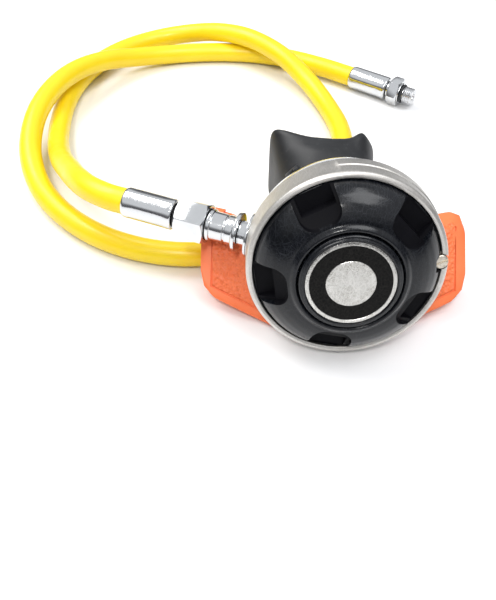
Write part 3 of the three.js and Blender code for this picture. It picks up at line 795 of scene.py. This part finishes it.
def make_inlet():
    ferrule = turned("sleeve_shape", round_ferrule(71.4, 94), INLET, 96, True, crimp(71.4, 94))
    chromed(ferrule, "near_sleeve", "near_ferrule")
    stem = turned("stem_shape", rounded([
        (1.8, 56.5), (3.3, 56.5), (3.3, 58), (2.7, 58), (2.7, 59.6), (3.3, 59.6), (3.3, 63.3),
        (6.2, 63.3), (6.2, 66.2), (4.3, 66.3), (4.3, 69.9), (5.2, 70.2), (5.2, 71.1), (1.8, 71.1),
    ], 0.2, closed=True), INLET, 64, True)
    finished(stem, "hose_stem_turned", [MATTE, CHROME], "housing", ["hose_stem"])
    nut = hexagon("swivel_shape", 15.9, 56.4, 69.4, 6.7, INLET, -0.22)
    cap = turned("cap_shape", rounded([
        (4.6, 66.6), (6.9, 66.6), (6.9, 69.3), (4.6, 69.3)], 0.1, closed=True), INLET, 64, True)
    unite(nut, cap)
    finished(nut, "swivel_hexagon", [CHROME], "nut", ["swivel_nut"])
    adapter = turned("adapter_shape", rounded([
        (3.6, 42.8), (8.2, 42.8), (8.2, 44.1), (7.6, 44.7), (6.1, 44.7), (6.1, 47.9), (5.5, 47.9),
        (5.5, 48.8), (6.0, 48.8), (6.0, 54.4), (6.7, 54.4), (6.7, 55.9), (6.3, 56.4), (6.3, 63),
        (3.6, 63),
    ], 0.28, closed=True), INLET, 96, True)
    chromed(adapter, "adapter_turned", "inlet_adapter")
    jam = hexagon("jam_shape", 17.4, 38.3, 42.5, 5.6, INLET, 0.3)
    washer = turned("washer_shape", rounded([
        (5.6, 37.5), (9.2, 37.5), (9.2, 38.5), (5.6, 38.5)], 0.2, closed=True), INLET, 96, True)
    unite(jam, washer)
    chromed(jam, "jam_hexagon", "jam_nut")
    seal = o_ring("stem_seal_shape", 3.05, 0.4, 58.8, INLET)
    finished(seal, "stem_seal", [MATTE], "housing", ["inlet_o_ring"], sharp=180)


make_inlet()

def sort_faces(mesh, second):
    """Gives the second material to each face that second(centre, normal) picks, in head space."""
    inverse = HEAD.inverted()
    turn = inverse.to_3x3()
    for face in mesh.polygons:
        picked = second(inverse @ face.center, (turn @ face.normal).normalized())
        face.material_index = 1 if picked else 0


# ---------------------------------------------------------------- ring and screw


def make_ring():
    def outline(radius, y, angle):
        if radius > RING_RADIUS - 0.05 and y > 7.6 and math.radians(18) < angle < math.radians(100):
            return radius + 0.35
        return radius
    ring = turned("ring_shape", [
        *rounded([
            (LIP_RADIUS, 1.6), (LIP_RADIUS, 0.35), (RING_RADIUS - 1.3, 0.0), (RING_RADIUS - 0.3, 0.5),
            (RING_RADIUS, 1.3), (RING_RADIUS, 7.4),
        ], 0.25, 4),
        (RING_RADIUS, 7.8), (RING_RADIUS, 13.4), (RING_RADIUS - 0.5, RING_DEPTH),
        (CASE_RADIUS + 0.3, RING_DEPTH), (CASE_RADIUS + 0.3, 1.6),
    ], HEAD, 240, True, outline)
    notch = turned("notch", [(0, -2), (3.35, -2), (3.35, 4), (0, 4)], HEAD @ screw_place(), 48)
    carve(ring, notch)
    finished(ring, "ring_turned", [RING], "housing", ["retaining_ring"], sharp=28)


def screw_place():
    return Matrix.Translation((SCREW_CENTRE * math.cos(SCREW_ANGLE), 0, SCREW_CENTRE * math.sin(SCREW_ANGLE)))


def make_screw():
    place = HEAD @ screw_place()
    screw = turned("screw_shape", rounded([
        (0, -0.5), (2.5, -0.45), (2.85, -0.1), (2.85, 1.5), (1.1, 1.5), (1.1, 3.5), (0, 3.5),
    ], 0.2), place, 48)
    slot = box("slot", (7, 1.1, 0.85), (0, -0.45, 0), place, Matrix.Rotation(-0.5, 4, "Y"))
    carve(screw, slot)
    soften(screw, 0.08, 2, 40)
    finished(screw, "lock_screw", [BRONZE], "housing", ["ring_lock_screw"])


make_ring()
make_screw()

# ---------------------------------------------------------------- purge cover


def port_outline(half, inner, corner, outer=40.0, flare=0.9, steps=10):
    """U-shaped outline in X and Z, open towards the rim."""
    points = [(outer, -half - flare), (outer, half + flare)]
    for start, centre in ((90, half - corner), (180, corner - half)):
        for k in range(steps + 1):
            angle = math.radians(start + 90 * k / steps)
            points.append((inner + corner + corner * math.cos(angle), centre + corner * math.sin(angle)))
    return points


def ramp_cutter(angle):
    """Port with upright walls whose floor falls away from the middle of the cover."""
    turn = Matrix.Rotation(-angle, 4, "Y")
    outline = port_outline(7.9, PORT_INNER, 5.5)
    count = len(outline)
    floor = [(x, -6.6 + max(0.0, x - 23) * 0.62, z) for x, z in outline]
    verts = [(x, -16, z) for x, z in outline] + floor
    faces = [list(range(count))] + [[count + i for i in reversed(range(count))]]
    faces += [[i, (i + 1) % count, count + (i + 1) % count, count + i] for i in range(count)]
    return raw("port", verts, faces, HEAD @ turn)


def slot_cutter(angle):
    """Deep water passage between the ramp's end and the rim."""
    turn = Matrix.Rotation(-angle, 4, "Y")
    verts = [(27.7, -8, -6.7), (27.7, -8, 6.7), (34.6, -8, 6.9), (34.6, -8, -6.9)]
    verts += [(x, 1.1, z) for x, _, z in verts]
    faces = [(0, 1, 2, 3), (7, 6, 5, 4), (0, 4, 5, 1), (1, 5, 6, 2), (2, 6, 7, 3), (3, 7, 4, 0)]
    return raw("slot", verts, faces, HEAD @ turn)


def make_cover():
    top = -COVER_RISE
    dome = rounded([
        (19.5, top + 0.8), (19.9, top + 0.05), (20.8, top - 0.02), (21.5, top + 0.5), (22.3, top + 1.35),
        (23.6, top + 1.5), (26.2, top + 2.3), (29, top + 3.8), (31.8, top + 6.1), (33.8, top + 8.6),
        (34.9, top + 11.2), (35.15, 1.8),
    ], 0.9, 4)
    inside = [
        (CASE_RADIUS, 1.95), (CASE_RADIUS, 3.55), (33.5, 3.6), (30, 2.4), (24, 2.4), (21.6, 2.2),
        (21.4, -0.1), (17.5, -0.1), (17.5, -1.3), (19.5, -1.3),
    ]
    cover = turned("cover_shape", dome + inside, HEAD, 200, True)
    for angle in PORT_ANGLES:
        carve(cover, ramp_cutter(angle))
        carve(cover, slot_cutter(angle))
    notch = turned("notch", [(0, -4), (3.4, -4), (3.4, 5), (0, 5)], HEAD @ screw_place(), 48)
    carve(cover, notch)
    soften(cover, 0.32, 3, 32)
    mesh = cover.data
    finished(cover, "cover_dome", [GLOSS, PORT_SHADE], "housing", ["purge_cover"], sharp=40)

    def in_port(centre, normal):
        radius = math.hypot(centre.x, centre.z)
        return PORT_INNER < radius < 34.9 and centre.y > dome_height(radius) + 0.75
    # Faces inside the ports take the second material, the duller black that paints shade into them.
    sort_faces(mesh, in_port)


def dome_height(radius):
    """How far forward the plain dome stands at this radius, between its ports."""
    heights = ((22.3, 1.35), (23.6, 1.5), (26.2, 2.3), (29, 3.8), (31.8, 6.1), (33.8, 8.6), (34.9, 11.2))
    for (r0, y0), (r1, y1) in zip(heights, heights[1:]):
        if radius <= r1:
            return -COVER_RISE + y0 + (y1 - y0) * (radius - r0) / (r1 - r0)
    return 0.0


make_cover()

# ---------------------------------------------------------------- button and label


def make_button():
    top = -COVER_RISE
    button = turned("button_shape", [
        (0, top - 0.6), (16.8, top - 0.6),
        *rounded([(16.8, top - 0.6), (17.0, top - 1.35), (17.7, top - 1.35), (17.95, top - 0.75),
                  (18.5, top - 0.7), (19.0, top - 0.2), (19.1, top + 3.4)], 0.22, 4),
        (15.4, top + 3.4), (15.4, top + 9.2), (14.2, top + 9.2), (14.2, top + 1.6), (3.4, top + 1.6),
        (3.4, 2.6), (0, 2.6),
    ], HEAD, 160)
    finished(button, "button_cap", [GLOSS], "button", ["purge_button"])


def make_label():
    """Plain scratched disc: a bright rim, a dark band and a bright middle, parted by fine grooves."""
    top = -COVER_RISE
    face = top - 1.05
    profile = [(0, face)]
    for radius in (BAND_INNER, BAND_OUTER):
        profile += [(radius - 0.16, face), (radius, face + 0.12), (radius + 0.16, face)]
    profile += rounded([(16.3, face), (16.65, face + 0.12), (16.65, top - 0.85)], 0.1)
    profile += [(0, top - 0.85)]
    label = turned("label_shape", profile, HEAD, 160)
    mesh = label.data
    finished(label, "label_plain", [LABEL, LABEL_BLACK], "button", ["label_disc"])
    sort_faces(mesh, lambda centre, normal: BAND_INNER < math.hypot(centre.x, centre.z) < BAND_OUTER)


make_button()
make_label()

# ---------------------------------------------------------------- case and exhaust valve


def case_profile(extra, front, steps=24):
    profile = [(0, front), (CASE_RADIUS + extra, front)]
    for i in range(steps):
        angle = math.pi / 2 * i / steps
        profile.append(((CASE_RADIUS + extra) * math.cos(angle), 18 + (26 + extra) * math.sin(angle)))
    return profile + [(0, 44 + extra)]


def oval_bar(name, half_width, half_height, low, high, segments=96):
    rings = [[(half_width * math.cos(2 * math.pi * j / segments), y,
               NECK_HEIGHT + half_height * math.sin(2 * math.pi * j / segments))
              for j in range(segments)] for y in (low, high)]
    return skin(name, rings, HEAD)


def below_seat(extra):
    return box("below_seat", (120, 60, 120), (0, 30 + extra, 0), SEAT)


def case_shape(extra, front):
    whole = turned("case_shape", case_profile(extra, front), HEAD, 128)
    return carve(whole, below_seat(extra))


def bar_along(name, radius, low, high, matrix, segments=64):
    return turned(name, [(0, low), (radius, low), (radius, high), (0, high)], matrix, segments)


def make_case():
    shell = case_shape(0, 4.1)
    unite(shell, bar_along("boss", 9.4, 26, 37.2, INLET))
    unite(shell, oval_bar("neck", 16, 13.2, 34, 54))
    carve(shell, case_shape(-1.5, 2))
    carve(shell, oval_bar("bore", 14.4, 11.6, 30, 56))
    carve(shell, bar_along("inlet_hole", 5.5, 20, 40, INLET))
    port = bar_along("port", 9.9, -4, 3, SEAT)
    spoke = box("spoke", (23, 3, 1.8), (0, 0, 0), SEAT)
    unite(spoke, bar_along("hub", 2.6, -3, 1, SEAT, 32))
    carve(spoke, bar_along("hub_hole", 1.4, -4, 4, SEAT, 32))
    carve(port, spoke)
    carve(shell, port)
    soften(shell, 0.35, 3, 35)
    finished(shell, "case_shell", [CHROME], "housing", ["case"], sharp=35)


def make_exhaust_valve():
    valve = turned("valve_shape", rounded([
        (0, -1.2), (1, -1.2), (1, 0.3), (8, 0.35), (11.8, 0.3), (12.1, 0.7), (11.6, 1.0), (8, 1.1),
        (1, 1.15), (1, 1.6), (0, 1.6)], 0.15), SEAT, 96)
    finished(valve, "exhaust_flap", [MILKY], "flap", ["exhaust_valve"])


make_case()
make_exhaust_valve()

# ---------------------------------------------------------------- exhaust tee


def table_height(depth, above=0.0):
    """Height in head space of a point this far above the table."""
    return (above - HEAD_HEIGHT + depth * math.sin(HEAD_TILT)) / math.cos(HEAD_TILT)


# Tee sections from the middle out: distance out, then corners from the lower front edge round.
TEE_SECTIONS = [
    (10, [(21, table_height(21)), (20, -24), (44, -14), (46, table_height(46))]),
    (26.5, [(16, table_height(16, 0.6)), (28, -12), (42, -6), (44, table_height(44, 2))]),
    (46, [(22.4, -30.6), (39, -1), (50, 3), (43, -27)]),
    (51, [(24, -28.6), (41, 0.5), (50.5, 3.8), (43, -25.5)]),
    (55, [(26.5, -24.5), (41.5, -0.4), (49.5, 2.6), (42, -22)]),
    (56.5, [(30, -19), (41, -3), (46, -1.2), (41, -18)]),
]


def tee_ring(x, corners, inset, per_side=14, corner_steps=5):
    """Rounded four-sided outline with evenly spaced points along its sides."""
    middle = Vector((sum(c[0] for c in corners) / 4, sum(c[1] for c in corners) / 4))
    points = []
    for i in range(4):
        here, after = Vector(corners[i]), Vector(corners[(i + 1) % 4])
        before = Vector(corners[i - 1])
        side = (after - here).length
        reach = min(3.0, side / 3, (before - here).length / 3)
        away = min(3.0, side / 3, (Vector(corners[(i + 2) % 4]) - after).length / 3)
        first = here + (before - here).normalized() * reach
        last = here + (after - here).normalized() * reach
        for k in range(corner_steps):
            t = k / corner_steps
            points.append(first * (1 - t) ** 2 + here * 2 * t * (1 - t) + last * t * t)
        stop = after + (here - after).normalized() * away
        for k in range(per_side):
            points.append(last.lerp(stop, k / per_side))
    ring = []
    for point in points:
        out = point - middle
        moved = middle + out * ((out.length - inset) / out.length)
        ring.append((x, moved.x, moved.y))
    return ring


def tee_sections(inset, upto):
    """Rings from the left tip to the right one, with the tips rounded off."""
    def at(out):
        for (x0, c0), (x1, c1) in zip(TEE_SECTIONS, TEE_SECTIONS[1:]):
            if out <= x1:
                t = (out - x0) / (x1 - x0)
                break
        return [tuple(a + (b - a) * t for a, b in zip(p, q)) for p, q in zip(c0, c1)]
    places = [10 + 1.5 * k for k in range(int((upto - 10) / 1.5) + 1)]
    if places[-1] < upto:
        places.append(upto)
    half = [(x, at(x)) for x in places]
    return [tee_ring(-x, c, inset) for x, c in reversed(half)] + [tee_ring(x, c, inset) for x, c in half]


def make_tee():
    body = skin("tee_shape", tee_sections(0, 56.5), HEAD)
    floor = box("floor", (200, 200, 40), (0, 30, -20.0), SHELF)
    carve(body, floor)
    soften(body, 1.3, 4, 40)
    carve(body, case_shape(0.7, -5))
    ring_room = turned("room", [(0, -5), (38.8, -5), (38.8, 14.7), (0, 14.7)], HEAD, 128)
    carve(body, ring_room)
    carve(body, oval_bar("neck_room", 21, 18.2, 40, 70))
    carve(body, bar_along("inlet_room", 10.4, 30, 78, INLET))
    carve(body, box("inlet_relief", (50, 30, 40), (16, 41, 18), INLET))
    carve(body, skin("duct", tee_sections(2.6, 51), HEAD))
    carve(body, bar_along("port_room", 13.1, -2, 4, SEAT))
    for side in (-1, 1):
        outlet = box("outlet", (12, 14, 9), (side * 43.5, 44, -16.5), HEAD, Matrix.Rotation(0.2, 4, "X"))
        soften(outlet, 1.6, 4, 40)
        carve(body, outlet)
    for side in (-1, 1):
        corners = [Vector((side * x, y, z)) for x, y, z in (
            (27.5, 18.7, -32.0), (46, 25.3, -25.8), (51.8, 27.2, -23.7), (51.8, 41.2, -0.6))]
        for start, stop in zip(corners, corners[1:]):
            carve(body, groove_cutter(start, stop))
    mesh = body.data
    finished(body, "tee_body", [ORANGE, ORANGE_PEBBLE], "housing",
             ["exhaust_tee"], sharp=35)

    def pebbled(centre, normal):
        lower = -25.8 + (abs(centre.x) - 46) * 0.35
        return 17 < abs(centre.x) < 51.4 and centre.z > lower and normal.y < -0.45
    sort_faces(mesh, pebbled)


def groove_cutter(start, stop):
    """Thin round bar between two points, for the line that frames each wing's face."""
    along = (stop - start).normalized()
    side = along.cross(Vector((0, 0, 1))).normalized()
    length = (stop - start).length
    return bar_along("groove", 0.5, -0.3, length + 0.3, HEAD @ basis(side, along, side.cross(along), start))


make_tee()

# ---------------------------------------------------------------- mouthpiece and tie


def mouth_ring(y, left, right, half_height, middle, squareness, bow, lift=0, count=96):
    """Oval section, squarer on the left, whose upper edge can rise in a horn and a small nub."""
    ring = []
    for i in range(count):
        angle = 2 * math.pi * i / count
        c, s = math.cos(angle), math.sin(angle)
        power = 2 / (squareness if c < 0 else max(2, squareness - 0.8))
        x = (left if c < 0 else right) * math.copysign(abs(c) ** power, c)
        horn = (-x / 27) ** 3 if c < 0 else 0.55 * math.exp(-((x - 13) / 3.5) ** 2)
        z = half_height * math.copysign(abs(s) ** power, s) + (lift * horn if s > 0 else 0)
        ring.append((x, y + bow * x * x, middle + z))
    return ring


def make_mouthpiece():
    bow = 0.016
    h = NECK_HEIGHT
    sections = [
        (46.5, 18.4, 18.4, 15.6, h, 2, 0), (47, 18.7, 18.7, 15.9, h, 2, 0), (49, 18.6, 18.6, 15.8, h, 2, 0),
        (49.6, 17.6, 17.6, 14.8, h, 2, 0), (53.4, 17.6, 17.6, 14.8, h, 2, 0), (54, 18.5, 18.5, 15.7, h, 2, 0),
        (56, 19.4, 18.9, 16.9, h + 0.4, 2, 0), (59, 21, 19.5, 19, 6.5, 2.2, 0.002),
        (61.5, 22.4, 19.5, 18.8, 7.6, 2.4, 0.005), (64, 24.4, 19.5, 17.6, 9, 3.4, bow / 2, 2.5),
        (66.2, 26.3, 19.8, 18.2, 9.4, 4.4, bow, 4.6), (67.4, 27.1, 20, 18.6, 9.6, 5, bow, 5),
        (68.6, 27.1, 20, 18.6, 9.6, 5, bow, 5), (69.1, 26.4, 19.3, 17.9, 9.6, 4.8, bow, 4.8),
        (69, 25, 17.8, 16.5, 9.6, 4.4, bow, 4.5), (67, 14.5, 13.5, 9, 7.4, 2, bow),
        (65, 13, 13, 8.2, 7, 2, bow / 2),
        (60, 13, 13, 8.6, 6, 2, 0), (55, 14, 14, 11, h, 2, 0), (54.3, 16.3, 16.3, 13.5, h, 2, 0),
        (46.5, 16.3, 16.3, 13.5, h, 2, 0),
    ]
    body = skin("mouth_shape", [mouth_ring(*s) for s in sections], HEAD, closed=True)
    for side in (-1, 1):
        turn = Matrix.Rotation(-0.12 * side, 4, "Z")
        stalk = box("stalk", (4.2, 15, 11), (side * 17, 77.5, 8), HEAD, turn)
        soften(stalk, 1.3, 4, 40)
        tab = box("tab", (7, 2.6, 14), (side * 17.6, 84, 8), HEAD, turn)
        soften(tab, 1.1, 4, 40)
        unite(body, stalk)
        unite(body, tab)
    finished(body, "mouth_cushion", [SILICONE], "housing", ["mouthpiece"], sharp=60)


def make_tie():
    section = ((17.95, 50), (18.7, 50), (18.9, 50.25), (18.9, 52.75), (18.7, 53), (17.95, 53))
    band_rings = [[(half * math.cos(a), y, NECK_HEIGHT + (half - 2.8) * math.sin(a))
                   for a in (2 * math.pi * j / 120 for j in range(120))]
                  for half, y in section]
    band = skin("band_shape", band_rings, HEAD, closed=True)
    turn = Matrix.Rotation(math.pi / 4, 4, "Y")
    head = box("tie_head", (5.9, 3.9, 6.9), (-16.8, 52, 17), HEAD, turn)
    window = box("tie_window", (3.4, 4, 1.8), (-17.9, 50.2, 18.1), HEAD, turn)
    carve(head, window)
    soften(head, 0.35, 3, 40)
    inner = [[(17.9 * math.cos(a), y, NECK_HEIGHT + 15.1 * math.sin(a))
              for a in (2 * math.pi * j / 120 for j in range(120))] for y in (48, 55)]
    carve(head, skin("inner", inner, HEAD))
    unite(band, head)
    finished(band, "tie_band", [MATTE], "housing", ["cable_tie"])


make_mouthpiece()
make_tie()

# ---------------------------------------------------------------- hidden CAD nodes keep their shape

NODE_MATERIALS = {
    "diaphragm": MILKY, "diaphragm_plate": WHITE, "valve_barrel": CHROME, "orifice_seat": STEEL,
    "poppet": CHROME, "poppet_seat": MATTE, "poppet_spring": STEEL, "purge_spring": STEEL,
    "lever_washer": STEEL, "lever_locknut": STEEL, "demand_lever": STEEL,
}
for node_name, node_material in NODE_MATERIALS.items():
    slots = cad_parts[node_name].data.materials
    slots.clear()
    slots.append(node_material)

# ---------------------------------------------------------------- floor and light


def make_floor():
    n = Nodes("pale_floor")
    cloud = n.noise(3, 4)
    n.colour(n.mix(cloud, (0.86, 0.86, 0.865), (0.89, 0.89, 0.89)))
    n.roughness(n.span(cloud, 0.5, 0.6, 0.3, 0.7))
    mesh = bpy.data.meshes.new("floor")
    size = 3.0
    corners = [(-size, -size, 0), (size, -size, 0), (size, size, 0), (-size, size, 0)]
    mesh.from_pydata(corners, [], [(0, 1, 2, 3)])
    mesh.materials.append(n.material)
    floor = bpy.data.objects.new("floor", mesh)
    bpy.context.scene.collection.objects.link(floor)


def area_light(name, place, target, size, power, colour=(1, 1, 1)):
    data = bpy.data.lights.new(name, "AREA")
    data.shape = "RECTANGLE"
    data.size, data.size_y = size
    data.energy = power
    data.color = colour
    light = bpy.data.objects.new(name, data)
    bpy.context.scene.collection.objects.link(light)
    light.location = place
    light.rotation_euler = (Vector(target) - Vector(place)).to_track_quat("-Z", "Y").to_euler()


def make_world():
    world = bpy.data.worlds.new("studio")
    world.use_nodes = True
    bpy.context.scene.world = world
    background = world.node_tree.nodes["Background"]
    nodes, links = world.node_tree.nodes, world.node_tree.links
    split = nodes.new("ShaderNodeSeparateXYZ")
    ramp = nodes.new("ShaderNodeValToRGB")
    links.new(nodes.new("ShaderNodeTexCoord").outputs["Generated"], split.inputs["Vector"])
    links.new(split.outputs["Z"], ramp.inputs["Fac"])
    links.new(ramp.outputs["Color"], background.inputs["Color"])
    stops = ((0.0, (0.10, 0.10, 0.11)), (0.28, (0.22, 0.22, 0.23)), (0.52, (0.95, 0.97, 1.0)))
    ramp.color_ramp.elements.new(0.5)
    for element, (position, colour) in zip(ramp.color_ramp.elements, stops):
        element.position = position
        element.color = (*colour, 1)
    background.inputs["Strength"].default_value = 0.85


make_floor()
make_world()
area_light("window", (-0.55, 0.35, 0.85), (-0.03, 0.03, 0.02), (0.7, 0.5), 6.6, (1.0, 0.99, 0.97))
area_light("front_lamp", (-0.16, -0.50, 0.78), (0, 0, 0.04), (0.14, 0.10), 2.6, (1.0, 0.98, 0.96))
area_light("overhead", (0.25, -0.15, 0.95), (-0.03, 0.03, 0.02), (0.5, 0.5), 3.6, (0.97, 0.98, 1.0))
bpy.context.scene.view_settings.view_transform = "Standard"
